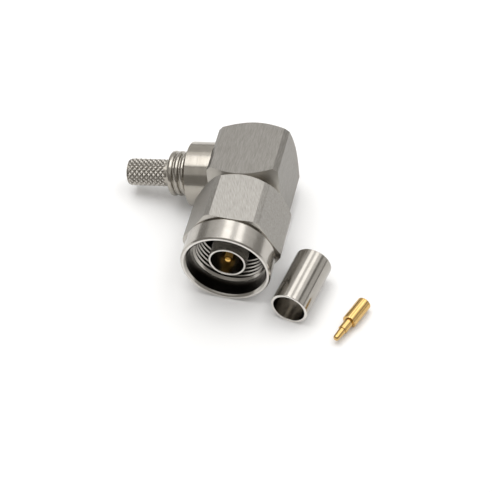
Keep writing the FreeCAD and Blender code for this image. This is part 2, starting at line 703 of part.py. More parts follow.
pieces = [
    make_coupling_nut(),
    make_plug_shell(),
    make_retaining_ring(),
    make_gasket(),
    make_front_insulator(),
    make_center_pin(),
    make_elbow_body(),
    make_rear_cap(),
    make_cap_insulator(),
    make_crimp_stub(),
    make_elbow_socket(),
    make_arm_insulator(),
    make_crimp_ferrule(),
    make_cable_contact(),
]
doc.recompute()

for item in doc.Objects:
    if "Invalid" in item.State or "Error" in item.State:
        raise ValueError(f"{item.Label} did not build: {item.State}")
for piece in pieces:
    if piece.Shape.isNull() or not piece.Shape.isValid():
        raise ValueError(f"{piece.Label} has no valid shape")

os.makedirs("parts", exist_ok=True)
for piece in pieces:
    piece.Shape.exportStep(os.path.join("parts", piece.Label + ".step"))
    print(f"{piece.Label}: {len(piece.Shape.Solids)} solid, {piece.Shape.Volume:.1f} mm3")
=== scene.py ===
"""Studio scene of a right-angle coaxial plug with its loose crimp sleeve and cable contact.

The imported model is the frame. Each operator dresses one piece or group of pieces around it, and
the last one sets the table, the lamps and the camera. Sizes are millimetres in the tables here
and metres in the scene.
"""
import math

import bpy
from mathutils import Matrix, Vector


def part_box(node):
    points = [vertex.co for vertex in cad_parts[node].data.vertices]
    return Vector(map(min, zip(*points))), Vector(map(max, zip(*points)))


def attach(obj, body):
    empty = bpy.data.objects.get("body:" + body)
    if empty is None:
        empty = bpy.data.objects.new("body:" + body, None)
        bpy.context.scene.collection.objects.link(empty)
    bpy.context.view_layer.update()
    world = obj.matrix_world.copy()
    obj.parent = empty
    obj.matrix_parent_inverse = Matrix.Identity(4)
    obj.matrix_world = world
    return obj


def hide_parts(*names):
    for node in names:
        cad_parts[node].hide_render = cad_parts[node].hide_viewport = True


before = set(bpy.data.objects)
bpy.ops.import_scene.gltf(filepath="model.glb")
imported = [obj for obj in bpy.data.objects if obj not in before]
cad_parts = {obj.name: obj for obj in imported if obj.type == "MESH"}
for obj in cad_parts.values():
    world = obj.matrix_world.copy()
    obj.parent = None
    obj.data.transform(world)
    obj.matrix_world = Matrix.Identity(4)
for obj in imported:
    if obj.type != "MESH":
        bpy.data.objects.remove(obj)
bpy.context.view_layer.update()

bl_info = {
    "name": "Right-angle coaxial plug",
    "version": (1, 0, 0),
    "blender": (4, 5, 0),
    "location": "View3D > Sidebar > Coaxial plug",
    "description": "Dresses the packed plug with turned, brushed and knurled metal",
    "category": "Object",
}

MM = 0.001
# Segments of a turned piece, by its size.
SMALL_ROUND, ROUND, FINE_ROUND = 64, 128, 192
SAME_POINT = 1e-6
# Radius that the ends of a solid turned piece are drawn in to.
CENTRE = 0.06
# The cable arm droops, and its axis crosses the mating axis this far behind the mouth.
ARM_ROLL = math.radians(10.0)
ARM_DEPTH = 25.65
# The nut's front ring stands on the table.
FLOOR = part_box("coupling_nut")[0][2]


def deselect():
    if bpy.context.mode != "OBJECT":
        bpy.ops.object.mode_set(mode="OBJECT")
    bpy.ops.object.select_all(action="DESELECT")


def pick(piece):
    """Makes one object the only selected and the active one."""
    deselect()
    piece.select_set(True)
    bpy.context.view_layer.objects.active = piece


def edit_picked(piece, kind="VERT", wanted=lambda item: True):
    """Opens edit mode with the vertices, edges or faces selected that the test picks."""
    pick(piece)
    kinds = {"VERT": piece.data.vertices, "EDGE": piece.data.edges, "FACE": piece.data.polygons}
    bpy.context.tool_settings.mesh_select_mode = [kind == name for name in kinds]
    for items in kinds.values():
        items.foreach_set("select", [False] * len(items))
    for item in kinds[kind]:
        item.select = wanted(item)
    bpy.ops.object.mode_set(mode="EDIT")


def turned(name, profile, segments=ROUND, closed=True):
    """Lathe work about local Z: a circle drawn out through (radius, depth) pairs in millimetres.

    A closed profile is a ring and ends on its first pair. An open one gets flat end faces.
    """
    deselect()
    radius, depth = profile[0]
    bpy.ops.mesh.primitive_circle_add(vertices=segments, radius=radius * MM,
                                      location=(0, 0, depth * MM))
    piece = bpy.context.object
    piece.name = name
    bpy.ops.object.transform_apply(location=True, rotation=True, scale=True)
    edit_picked(piece)
    steps = profile[1:] + (profile[:1] if closed else [])
    for next_radius, next_depth in steps:
        move = (0, 0, (next_depth - depth) * MM)
        bpy.ops.mesh.extrude_region_move(TRANSFORM_OT_translate={"value": move})
        if next_radius != radius:
            size = next_radius / radius
            bpy.ops.transform.resize(value=(size, size, 1), center_override=(0, 0, next_depth * MM))
        radius, depth = next_radius, next_depth
    bpy.ops.mesh.select_all(action="SELECT")
    bpy.ops.mesh.remove_doubles(threshold=SAME_POINT)
    if not closed:
        bpy.ops.mesh.select_all(action="DESELECT")
        bpy.ops.mesh.select_non_manifold()
        bpy.ops.mesh.fill_holes(sides=0)
    bpy.ops.mesh.select_all(action="SELECT")
    bpy.ops.mesh.normals_make_consistent(inside=False)
    bpy.ops.object.mode_set(mode="OBJECT")
    return piece


def settle(piece, matrix):
    """Puts the piece in its place and leaves its object at the origin."""
    pick(piece)
    piece.matrix_world = matrix
    bpy.ops.object.transform_apply(location=True, rotation=True, scale=True)


def along(direction, start):
    """Matrix that turns local Z to a direction and moves the origin to a point in millimetres."""
    turn = Vector(direction).normalized().to_track_quat("Z", "Y").to_matrix().to_4x4()
    return Matrix.Translation(Vector(start) * MM) @ turn


def finish_with(piece, kind, **settings):
    """Adds one modifier and applies it."""
    pick(piece)
    bpy.ops.object.modifier_add(type=kind)
    modifier = piece.modifiers[-1]
    for key, setting in settings.items():
        setattr(modifier, key, setting)
    bpy.ops.object.modifier_apply(modifier=modifier.name)


def combine(piece, tool, operation):
    """Cuts, keeps or adds another closed piece, which is used up."""
    finish_with(piece, "BOOLEAN", object=tool, operation=operation, solver="EXACT")
    bpy.data.objects.remove(tool, do_unlink=True)


def smooth(piece, angle=35.0):
    """Shades curved faces smooth. The large faces keep their own normals up to their edges."""
    pick(piece)
    bpy.ops.object.shade_smooth_by_angle(angle=math.radians(angle))
    finish_with(piece, "WEIGHTED_NORMAL", keep_sharp=True, weight=50)


def soften(piece, width, angle=25.0, segments=2):
    """Breaks the sharp edges by a width in millimetres and smooths the rest."""
    finish_with(piece, "BEVEL", width=width * MM, segments=segments, limit_method="ANGLE",
                angle_limit=math.radians(angle), miter_outer="MITER_ARC")
    smooth(piece)


def join(piece, *others):
    pick(piece)
    for other in others:
        other.select_set(True)
    bpy.ops.object.join()


def hand_over(piece, body, slot, *nodes):
    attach(piece, body)
    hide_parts(*nodes)


def on_table(x, y, yaw, radius):
    """Place of a round piece that lies on the table with its near end at x and y."""
    turn = math.radians(yaw)
    return along((math.sin(turn), math.cos(turn), 0), (x, y, FLOOR / MM + radius))


MATING = Matrix.Rotation(math.radians(-90), 4, "X")
LEAN = Matrix.Rotation(-ARM_ROLL, 4, "Y")
ARM_DIRECTION = (-math.cos(ARM_ROLL), 0, -math.sin(ARM_ROLL))
ARM = along(ARM_DIRECTION, (0, ARM_DEPTH, 0))
SLEEVE_PLACE = on_table(14.3, -5.0, 11.0, 4.1)
CONTACT_PLACE = on_table(25.0, -8.9, 21.5, 1.575)


def linear(code):
    """Linear colour from an sRGB hex value."""
    def channel(pair):
        part = int(pair, 16) / 255
        return part / 12.92 if part <= 0.04045 else ((part + 0.055) / 1.055) ** 2.4
    return (*(channel(code[k:k + 2]) for k in (1, 3, 5)), 1.0)


def node(tree, kind, settings=None, links=None):
    """Adds a node. Settings name its inputs or properties, links give the sockets that feed it."""
    made = tree.nodes.new(kind)
    for key, setting in (settings or {}).items():
        if isinstance(key, str) and hasattr(made, key):
            setattr(made, key, setting)
        else:
            made.inputs[key].default_value = setting
    for key, socket in (links or {}).items():
        tree.links.new(socket, made.inputs[key])
    return made


def empty_material(name):
    material = bpy.data.materials.new(name)
    material.use_nodes = True
    material.node_tree.nodes.clear()
    return material


def on_axis(tree, axis):
    """Position in millimetres in a turned piece's own coordinates, where its axis is Z."""
    place = node(tree, "ShaderNodeTexCoord")
    local = node(tree, "ShaderNodeMapping",
                 {"vector_type": "TEXTURE", "Location": axis[0], "Rotation": axis[1],
                  "Scale": (MM, MM, MM)}, {"Vector": place.outputs["Object"]})
    return local.outputs["Vector"]


def depth_and_radius(tree, local):
    """Depth along the axis and distance from it."""
    split = node(tree, "ShaderNodeSeparateXYZ", links={"Vector": local})
    across = node(tree, "ShaderNodeCombineXYZ",
                  links={"X": split.outputs["X"], "Y": split.outputs["Y"]})
    radius = node(tree, "ShaderNodeVectorMath", {"operation": "LENGTH"},
                  {0: across.outputs["Vector"]})
    return split.outputs["Z"], radius.outputs["Value"]


def blend(tree, first, second, factor):
    """Goes from one colour to another as the factor rises."""
    mix = node(tree, "ShaderNodeMix",
               {"data_type": "RGBA", "A": linear(first), "B": linear(second)},
               {"Factor": factor})
    return mix.outputs["Result"]


def rough_between(tree, roughness, spread, factor):
    """Roughness that varies by a share of itself."""
    vary = node(tree, "ShaderNodeMapRange",
                {"To Min": roughness * (1 - spread), "To Max": roughness * (1 + spread)},
                {"Value": factor})
    return vary.outputs["Result"]


def relief(tree, strength, depth_mm, height):
    """Normal that shows the height as fine relief."""
    bump = node(tree, "ShaderNodeBump", {"Strength": strength, "Distance": depth_mm * MM},
                {"Height": height})
    return bump.outputs["Normal"]


def shaded(material, settings, links):
    """Ends a material with its shader and returns it."""
    tree = material.node_tree
    shader = node(tree, "ShaderNodeBsdfPrincipled", settings, links)
    node(tree, "ShaderNodeOutputMaterial", links={"Surface": shader.outputs["BSDF"]})
    return material


SMUDGES_PER_MM = 0.5
QUARTER_TURN = 0.25


def lathe_metal(name, colour, dark, axis, roughness, mark_mm, mark_depth, streak=0.0):
    """Turned and plated metal. The tool leaves rings around the axis, which drag the highlights
    out along the piece and break up their edges. A streak draws them out further, on pieces that
    lie along Y."""
    material = empty_material(name)
    tree = material.node_tree
    local = on_axis(tree, axis)
    depth, radius = depth_and_radius(tree, local)
    rings = node(tree, "ShaderNodeCombineXYZ", links={"X": depth, "Y": radius})
    marks = node(tree, "ShaderNodeTexNoise", {"Scale": 1 / mark_mm, "Detail": 2.0},
                 {"Vector": rings.outputs["Vector"]}).outputs["Fac"]
    smudges = node(tree, "ShaderNodeTexNoise", {"Scale": SMUDGES_PER_MM, "Detail": 3.0},
                   {"Vector": local}).outputs["Fac"]
    around = node(tree, "ShaderNodeTangent", {"direction_type": "RADIAL", "axis": "Y"})
    return shaded(
        material,
        {"Metallic": 1.0, "Anisotropic": streak, "Anisotropic Rotation": QUARTER_TURN},
        {"Base Color": blend(tree, colour, dark, smudges),
         "Roughness": rough_between(tree, roughness, 0.25, marks),
         "Normal": relief(tree, 1.0, mark_depth, marks),
         "Tangent": around.outputs["Tangent"]})


def knurled_metal(name, crest_colour, shaded_root_colour, axis, crest_mm, root_mm, roughness):
    """Plated knurl, rolled into the metal. The points keep the plain plated colour, and the grooves
    between them are painted darker as painted shade, so the pattern can be read from any side."""
    material = empty_material(name)
    tree = material.node_tree
    depth, radius = depth_and_radius(tree, on_axis(tree, axis))
    height = node(tree, "ShaderNodeMapRange", {"From Min": root_mm, "From Max": crest_mm},
                  {"Value": radius})
    return shaded(material, {"Metallic": 1.0, "Roughness": roughness},
                  {"Base Color": blend(tree, shaded_root_colour, crest_colour,
                                       height.outputs["Result"])})


# Belt scratches are some 0.03 mm wide. They are drawn wider, so that they show from afar.
SCRATCH_MM, SCRATCH_STRETCH = 0.13, 14
CLOUDS_PER_M, CLOUD_SHARE = 120.0, 0.1


def brushed_metal(name, colour, dark, grain, roughness):
    """Plated flats, linished on a belt before plating. The fine parallel scratches give a satin
    face with light and dark hairlines."""
    material = empty_material(name)
    tree = material.node_tree
    place = node(tree, "ShaderNodeTexCoord")
    local = node(tree, "ShaderNodeMapping",
                 {"vector_type": "TEXTURE", "Rotation": grain,
                  "Scale": (MM, SCRATCH_STRETCH * MM, MM)},
                 {"Vector": place.outputs["Object"]})
    scratches = node(tree, "ShaderNodeTexNoise",
                     {"Scale": 1 / SCRATCH_MM, "Detail": 3.0, "Roughness": 0.6},
                     {"Vector": local.outputs["Vector"]}).outputs["Fac"]
    clouds = node(tree, "ShaderNodeTexNoise", {"Scale": CLOUDS_PER_M, "Detail": 2.0},
                  {"Vector": place.outputs["Object"]})
    contrast = node(tree, "ShaderNodeMapRange", {"From Min": 0.3, "From Max": 0.7},
                    {"Value": scratches})
    mixed = node(tree, "ShaderNodeMath", {"operation": "MULTIPLY_ADD", 1: CLOUD_SHARE},
                 {0: clouds.outputs["Fac"], 2: contrast.outputs["Result"]})
    return shaded(material, {"Metallic": 1.0},
                  {"Base Color": blend(tree, dark, colour, mixed.outputs["Value"]),
                   "Roughness": rough_between(tree, roughness, 0.15, scratches),
                   "Normal": relief(tree, 0.6, 0.004, scratches)})


def moulded(name, colour, dark, roughness, grain_mm):
    """Machined fluoropolymer or moulded rubber: no metal, a soft sheen and a faint mottle."""
    material = empty_material(name)
    tree = material.node_tree
    place = node(tree, "ShaderNodeTexCoord")
    mottle = node(tree, "ShaderNodeTexNoise", {"Scale": 1 / (grain_mm * MM), "Detail": 3.0},
                  {"Vector": place.outputs["Object"]}).outputs["Fac"]
    return shaded(material, {"Roughness": roughness, "IOR": 1.38},
                  {"Base Color": blend(tree, dark, colour, mottle),
                   "Normal": relief(tree, 0.4, 0.01, mottle)})


def dress(piece, *materials):
    piece.data.materials.clear()
    for material in materials:
        piece.data.materials.append(material)


def give_faces(piece, slot, wanted):
    """Gives the faces that the test picks to one of the piece's material slots."""
    for face in piece.data.polygons:
        if wanted(face):
            face.material_index = slot


def axis_of(place):
    """Location and rotation of a piece's own axis, for the mapping of its material."""
    return tuple(place.translation), tuple(place.to_euler())


ALONG_MATING, ALONG_ARM = axis_of(MATING), axis_of(ARM)
ALONG_SLEEVE, ALONG_CONTACT = axis_of(SLEEVE_PLACE), axis_of(CONTACT_PLACE)


def length(label, note, size_mm):
    return bpy.props.FloatProperty(name=label, description=note, default=size_mm * MM, min=0.0,
                                   max=0.1, unit="LENGTH", precision=5)


class NutSizes(bpy.types.PropertyGroup):
    """Sizes of the coupling nut"""

    flats: length("Across flats", "Size of the spanner that fits the nut", 19.0)
    corners: length("Across corners", "Turned diameter over the hexagon's corners", 21.2)
    front: length("Front ring", "Diameter of the plain front ring", 19.4)
    mouth: length("Mouth", "Diameter of the counterbore at the nut's rim", 17.0)
    thread_major: length("Thread major", "Major diameter of the coupling thread", 15.875)
    thread_minor: length("Thread minor", "Minor diameter of the coupling thread", 14.86)
    pitch: length("Pitch", "Advance of the thread in one turn", 25.4 / 24)
    edge: length("Edge break", "Rounding of the nut's sharp edges", 0.09)


class ArmSizes(bpy.types.PropertyGroup):
    """Sizes of the cable arm"""

    collar: length("Collar", "Diameter of the collar at the elbow", 14.3)
    ribs: length("Ribs", "Diameter over the ribs", 10.0)
    barrel: length("Barrel", "Diameter of the crimp barrel over the knurl", 6.2)
    knurl_depth: length("Knurl depth", "Depth of the grooves between the knurl's points", 0.3)
    knurl_columns: bpy.props.IntProperty(
        name="Knurl columns", description="Knurl points around the barrel", default=16, min=6,
        max=40)
    knurl_rows: bpy.props.IntProperty(
        name="Knurl rows", description="Knurl points along the barrel", default=8, min=3, max=30)


class StageLight(bpy.types.PropertyGroup):
    """Brightness of the table and the lamps"""

    backdrop: bpy.props.FloatProperty(
        name="Table brightness", description="How white the table looks to the camera",
        default=0.06, min=0.0, max=1.0)
    lamp: bpy.props.FloatProperty(
        name="Lamp strength", description="Share of the usual power of all lamps", default=1.0,
        min=0.0, max=4.0)


def in_mm(group, name):
    return getattr(group, name) / MM


class DressCouplingNut(bpy.types.Operator):
    """Turns the nut, mills its hexagon and cuts the coupling thread"""

    bl_idname = "coaxial_plug.coupling_nut"
    bl_label = "Coupling nut"

    def execute(self, context):
        sizes = context.scene.nut_sizes
        front, corner = in_mm(sizes, "front") / 2, in_mm(sizes, "corners") / 2
        mouth = in_mm(sizes, "mouth") / 2
        major, minor = in_mm(sizes, "thread_major") / 2, in_mm(sizes, "thread_minor") / 2
        rim, shoulder, rear = -1.8, 1.8, 17.1
        ring_end, hexagon_start, mill_start = 3.35, 3.95, 3.65
        relief_radius, rear_face, runout, bore, ring_groove = 9.15, 9.2, 8.1, 6.56, 7.1
        slope = (corner - relief_radius) * math.tan(math.radians(11))
        nut = turned("coupling_nut_dressed", [
            (mouth + 0.45, rim), (front - 0.3, rim), (front, rim + 0.3), (front, ring_end),
            (relief_radius, ring_end), (relief_radius, hexagon_start),
            (corner, hexagon_start + slope), (corner, rear - (corner - rear_face)),
            (rear_face, rear), (bore, rear), (bore, 15.35), (ring_groove, 15.35),
            (ring_groove, 14.15), (bore, 14.15), (bore, 11.0), (runout, 11.0), (runout, 8.8),
            (major, 8.8), (major, shoulder), (mouth, shoulder), (mouth, rim + 0.45),
        ], FINE_ROUND)
        combine(nut, self.mill(in_mm(sizes, "flats"), mill_start, rear + 1.0), "DIFFERENCE")
        soften(nut, in_mm(sizes, "edge"), 18.0)
        join(nut, self.thread(major, minor, in_mm(sizes, "pitch"), shoulder))
        settle(nut, MATING)
        dress(nut, LATHE_NUT, BRUSHED_NUT, SHADED_COUNTERBORE, HIGHLIGHTED_END)
        give_faces(nut, 1, self.on_hexagon)
        # Painted shade: the counterbore wall gets the near-black colour.
        give_faces(nut, 2, self.on_counterbore)
        # Painted highlight: the rim gets the lighter faced colour.
        give_faces(nut, 3, self.on_rim)
        hand_over(nut, "nut", "nickel_nut", "coupling_nut")
        return {"FINISHED"}

    def mill(self, flats, start, end):
        """Closed ring with a hexagonal hole, which leaves the hexagon when it is cut away."""
        deselect()
        corner, outside = flats / 2 / math.cos(math.radians(30)), 1.6
        bpy.ops.mesh.primitive_circle_add(vertices=6, radius=corner * MM,
                                          rotation=(0, 0, math.radians(30)))
        mill = bpy.context.object
        bpy.ops.object.transform_apply(location=True, rotation=True, scale=True)
        edit_picked(mill)
        bpy.ops.transform.translate(value=(0, 0, start * MM))
        bpy.ops.mesh.extrude_region_move(TRANSFORM_OT_translate={"value": (0, 0, 0)})
        bpy.ops.transform.resize(value=(outside, outside, 1), center_override=(0, 0, start * MM))
        bpy.ops.mesh.select_all(action="SELECT")
        bpy.ops.mesh.extrude_region_move(
            TRANSFORM_OT_translate={"value": (0, 0, (end - start) * MM)})
        bpy.ops.mesh.select_all(action="SELECT")
        bpy.ops.mesh.normals_make_consistent(inside=False)
        bpy.ops.object.mode_set(mode="OBJECT")
        return mill

    def thread(self, major, minor, pitch, shoulder):
        """Ridge of the thread, wound by a screw modifier and trimmed to the lead-in."""
        deselect()
        root, crest, turns, steps = pitch * 0.46, pitch * 0.12, 7, 96
        outer, start = major + 0.08, (shoulder - 0.9) * MM
        middle = (outer + minor) / 2 * MM
        bpy.ops.mesh.primitive_plane_add(size=1, location=(middle, 0, start),
                                         rotation=(math.radians(90), 0, 0))
        ridge = bpy.context.object
        ridge.scale = ((outer - minor) * MM, 2 * root * MM, 1)
        bpy.ops.object.transform_apply(location=True, rotation=True, scale=True)
        edit_picked(ridge, "VERT", lambda point: point.co.x < middle)
        bpy.ops.transform.resize(value=(1, 1, crest / root),
                                 center_override=(minor * MM, 0, start))
        bpy.ops.mesh.select_all(action="SELECT")
        bpy.ops.mesh.delete(type="ONLY_FACE")
        bpy.ops.object.mode_set(mode="OBJECT")
        finish_with(ridge, "SCREW", axis="Z", screw_offset=pitch * MM, iterations=turns,
                    steps=steps, render_steps=steps, use_smooth_shade=False)
        edit_picked(ridge, "VERT", lambda point: False)
        bpy.ops.mesh.select_non_manifold()
        bpy.ops.mesh.fill_holes(sides=4)
        bpy.ops.mesh.select_all(action="SELECT")
        bpy.ops.mesh.normals_make_consistent(inside=False)
        bpy.ops.object.mode_set(mode="OBJECT")
        lead = turned("lead_in", [
            (minor - 1.0, shoulder - 3.0), (major + 1.0, shoulder - 3.0),
            (major + 1.0, shoulder + 0.02), (major + 0.02, shoulder + 0.02),
            (minor - 0.05, shoulder + major - minor + 0.07), (minor - 1.0, shoulder + 0.9),
        ], FINE_ROUND)
        combine(ridge, lead, "DIFFERENCE")
        pick(ridge)
        bpy.ops.object.shade_smooth_by_angle(angle=math.radians(35))
        return ridge

    @staticmethod
    def on_hexagon(face):
        """Flats and turned corners, which lie behind the relief and outside it."""
        middle = face.center / MM
        return middle.y > 3.9 and abs(face.normal.y) < 0.05 and math.hypot(middle.x, middle.z) > 9.2

    @staticmethod
    def on_counterbore(face):
        """Wall of the mouth, between the rim and the shoulder."""
        middle = face.center / MM
        return (-1.4 < middle.y < 1.79 and abs(face.normal.y) < 0.3
                and 8.0 < math.hypot(middle.x, middle.z) < 8.8)

    @staticmethod
    def on_rim(face):
        """Flat front of the nut."""
        return face.center.y < -1.3 * MM and face.normal.y < -0.9


class DressElbow(bpy.types.Operator):
    """Saws the elbow from square bar, turns its ends and bores it for the other pieces"""

    bl_idname = "coaxial_plug.elbow"
    bl_label = "Elbow"

    def execute(self, context):
        front, rear, half, bevel = 18.25, 34.45, 8.0, 1.0
        turned_face, reach, slope = 7.6, 12.0, math.radians(32)
        deselect()
        bpy.ops.mesh.primitive_cube_add(size=1, location=(0, 0, (front + rear) / 2 * MM))
        block = bpy.context.object
        block.name = "elbow_body_dressed"
        block.scale = (2 * half * MM, 2 * half * MM, (rear - front) * MM)
        bpy.ops.object.transform_apply(location=True, rotation=True, scale=True)
        points = block.data.vertices

        def runs_along(edge):
            first, second = (points[k].co.z for k in edge.vertices)
            return abs(first - second) > half * MM

        edit_picked(block, "EDGE", runs_along)
        bpy.ops.mesh.bevel(offset=bevel * MM, segments=1, affect="EDGES")
        bpy.ops.object.mode_set(mode="OBJECT")
        rise = (reach - turned_face) * math.tan(slope)
        ends = turned("turned_ends", [
            (turned_face, front), (reach, front + rise), (reach, rear - rise),
            (turned_face, rear),
        ], FINE_ROUND, closed=False)
        combine(block, ends, "INTERSECT")
        bore = turned("bore", [
            (5.5, front - 1), (5.5, 23.35), (4.2, 23.35), (4.2, 32.45), (6.0, 32.45),
            (6.0, rear + 1),
        ], closed=False)
        combine(block, bore, "DIFFERENCE")
        settle(block, MATING)
        seat = turned("stub_seat", [(3.5, 0.5), (3.5, 5.6), (5.0, 5.6), (5.0, 9.0)],
                      closed=False)
        settle(seat, along((-1, 0, 0), (0, ARM_DEPTH, 0)))
        combine(block, seat, "DIFFERENCE")
        soften(block, 0.09, 20.0)
        settle(block, LEAN)
        dress(block, BRUSHED_ELBOW, LATHE_ELBOW)
        give_faces(block, 1, self.turned_end)
        hand_over(block, "plug", "nickel_elbow", "elbow_body")
        return {"FINISHED"}

    @staticmethod
    def turned_end(face):
        """Faces and slopes of the two turned ends."""
        return abs(face.normal.y) > 0.3


class DressCableArm(bpy.types.Operator):
    """Turns the collar, ribs and neck of the cable stub and rolls the knurl on its barrel"""

    bl_idname = "coaxial_plug.cable_arm"
    bl_label = "Cable stub"

    def execute(self, context):
        sizes = context.scene.arm_sizes
        collar, rib = in_mm(sizes, "collar") / 2, in_mm(sizes, "ribs") / 2
        barrel, depth = in_mm(sizes, "barrel") / 2, in_mm(sizes, "knurl_depth")
        stub = turned("crimp_stub_dressed", self.profile(collar, rib, barrel - depth))
        soften(stub, 0.14, 30.0, 3)
        knurl = self.knurl(barrel, depth, sizes.knurl_columns, sizes.knurl_rows)
        dress(stub, LATHE_ARM)
        dress(knurl, KNURL)
        join(stub, knurl)
        settle(stub, ARM)
        hand_over(stub, "plug", "nickel_turned", "crimp_stub")
        return {"FINISHED"}

    def profile(self, collar, rib, core):
        """Half section of the stub from its seat in the elbow to the barrel's end and back."""
        pitch, half_groove, ribs_end, end = 1.34, 0.2, 18.4, 28.5
        outline = [(3.5, 5.6), (5.0, 5.6), (5.0, 8.0), (collar, 8.0), (collar, 13.7),
                   (rib - 0.1, 13.7)]
        for number in (3, 2, 1):
            groove = ribs_end - number * pitch
            rib_end = groove + pitch - half_groove if number > 1 else ribs_end
            outline += [(rib - 0.12, groove - half_groove), (rib - 0.4, groove - 0.1),
                        (rib - 0.4, groove + 0.1), (rib - 0.2, groove + half_groove),
                        (rib - 0.05, groove + 0.37), (rib, groove + 0.58),
                        (rib, rib_end - 0.38), (rib - 0.05, rib_end - 0.17),
                        (rib - 0.2, rib_end)]
        outline += [(2.8, ribs_end), (2.8, 19.4), (core, 19.4), (core, end - 0.3),
                    (core - 0.3, end), (2.1, end), (2.1, 12.6), (3.5, 12.6)]
        return outline

    def knurl(self, radius, depth, columns, rows):
        """Sleeve of points around the barrel's core, each with a small flat top."""
        first, last, groove = 19.5, 28.35, radius - depth
        inner, flat_top = groove - 0.5, 0.15
        step = (last - first) / (2 * rows)
        outline = [(radius, first + step * k) for k in range(2 * rows + 1)]
        outline += [(groove, last + 0.13), (inner, last + 0.1), (inner, first - 0.05),
                    (groove, first - 0.08)]
        knurl = turned("knurl", outline, 2 * columns)

        def row_and_column(point):
            column = math.atan2(point.co.y, point.co.x) / math.pi * columns
            return round((point.co.z / MM - first) / step), round(column)

        def on_skin(point):
            return math.hypot(point.co.x, point.co.y) > (radius - depth / 2) * MM

        def in_groove(point):
            row, column = row_and_column(point)
            return on_skin(point) and ((row + column) % 2 == 1 or row in (0, 2 * rows))

        edit_picked(knurl, "VERT", in_groove)
        shrink = groove / radius
        bpy.ops.transform.resize(value=(shrink, shrink, 1), center_override=(0, 0, 0))
        bpy.ops.mesh.select_all(action="SELECT")
        bpy.ops.mesh.quads_convert_to_tris(quad_method="SHORTEST_DIAGONAL")
        bpy.ops.object.mode_set(mode="OBJECT")
        edit_picked(knurl, "VERT", on_skin)
        bpy.ops.mesh.bevel(offset=flat_top * MM, affect="VERTICES", segments=1)
        bpy.ops.mesh.select_all(action="SELECT")
        bpy.ops.mesh.normals_make_consistent(inside=False)
        bpy.ops.object.mode_set(mode="OBJECT")
        return knurl


class DressShell(bpy.types.Operator):
    """Turns the shell with its outer contact"""

    bl_idname = "coaxial_plug.shell"
    bl_label = "Shell"

    def execute(self, context):
        contact, journal, spigot, bore, seat = 4.05, 6.5, 5.5, 3.5, 4.2
        ring_groove = 5.83
        shell = turned("plug_shell_dressed", [
            (bore + 0.12, 0.0), (contact - 0.12, 0.0), (contact, 0.12), (contact, 10.6),
            (journal, 10.6), (journal, 14.15), (ring_groove, 14.15), (ring_groove, 15.35),
            (journal, 15.35), (journal, 18.25), (spigot, 18.25), (spigot, 23.35),
            (seat, 23.35), (seat, 11.6), (bore, 11.6), (bore, 0.16),
        ])
        soften(shell, 0.05, 25.0)
        settle(shell, MATING)
        dress(shell, LATHE_SHELL, HIGHLIGHTED_END)
        # Painted highlight: the front face gets the lighter faced colour.
        give_faces(shell, 1, lambda face: face.center.y < 0.14 * MM)
        hand_over(shell, "plug", "nickel_turned", "plug_shell")
        return {"FINISHED"}


class DressSleeve(bpy.types.Operator):
    """Cuts the loose crimp sleeve from drawn tube"""

    bl_idname = "coaxial_plug.crimp_sleeve"
    bl_label = "Crimp sleeve"

    def execute(self, context):
        sleeve = turned("crimp_ferrule_dressed", [
            (3.5, 0.08), (3.58, 0.0), (3.98, 0.0), (4.1, 0.12), (4.1, 13.88), (3.98, 14.0),
            (3.58, 14.0), (3.5, 13.92),
        ], FINE_ROUND)
        soften(sleeve, 0.05, 25.0)
        dress(sleeve, DRAWN_SLEEVE, HIGHLIGHTED_SLEEVE_END)
        # Painted highlight: the end faces get the lighter faced colour.
        give_faces(sleeve, 1, lambda face: abs(face.normal.z) > 0.3)
        settle(sleeve, SLEEVE_PLACE)
        hand_over(sleeve, "plug", "nickel_ferrule", "crimp_ferrule")
        return {"FINISHED"}


class DressPin(bpy.types.Operator):
    """Turns the centre pin with its rounded tip and bores its head for the receptacle"""

    bl_idname = "coaxial_plug.center_pin"
    bl_label = "Centre pin"

    def execute(self, context):
        radius, body, head, tip_end = 0.825, 1.52, 2.1, 1.2
        head_start, head_end = 22.95, 28.35
        pin = turned("center_pin_dressed", [
            (CENTRE, 0.5), (0.28, 0.53), (0.48, 0.61), (0.64, 0.75), (0.77, 0.95),
            (radius, tip_end), (radius, 5.6), (body, 5.6), (body, head_start),
            (head, head_start), (head, head_end), (CENTRE, head_end),
        ], SMALL_ROUND, closed=False)
        settle(pin, MATING)
        cross_bore = turned("cross_bore", [(1.3, -4.0), (1.3, 4.0)], SMALL_ROUND, closed=False)
        settle(cross_bore, ARM)
        combine(pin, cross_bore, "DIFFERENCE")
        smooth(pin, 40.0)
        dress(pin, GOLD_PIN, GOLD_TIP)
        give_faces(pin, 1, lambda face: face.center.y < (tip_end - 0.01) * MM)
        hand_over(pin, "plug", "gold_plate", "center_pin")
        return {"FINISHED"}


class DressContacts(bpy.types.Operator):
    """Turns the loose cable contact and gilds the receptacle"""

    bl_idname = "coaxial_plug.contacts"
    bl_label = "Gold contacts"

    def execute(self, context):
        tip, nose_radius, step, shoulder, barrel, end = 0.08, 0.6, 2.9, 5.55, 1.575, 11.75
        nose = [(tip + nose_radius * math.sin(turn), nose_radius * (1 - math.cos(turn)))
                for turn in (math.radians(15 * k) for k in range(7))]
        contact = turned("cable_contact_dressed", nose + [
            (0.81, step), (0.94, step), (1.0, step + 0.06), (1.0, shoulder), (1.38, shoulder),
            (1.52, shoulder + 0.06), (barrel, shoulder + 0.2), (barrel, end - 0.2),
            (1.52, end - 0.06), (1.38, end), (0.82, end), (0.75, end - 0.07), (0.75, 6.75),
            (tip, 6.75),
        ], SMALL_ROUND, closed=False)
        smooth(contact, 40.0)
        settle(contact, CONTACT_PLACE)
        dress(contact, GOLD_CONTACT)
        hand_over(contact, "plug", "gold_plate", "cable_contact")
        dress(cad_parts["elbow_socket"], GOLD_CONTACT)
        return {"FINISHED"}


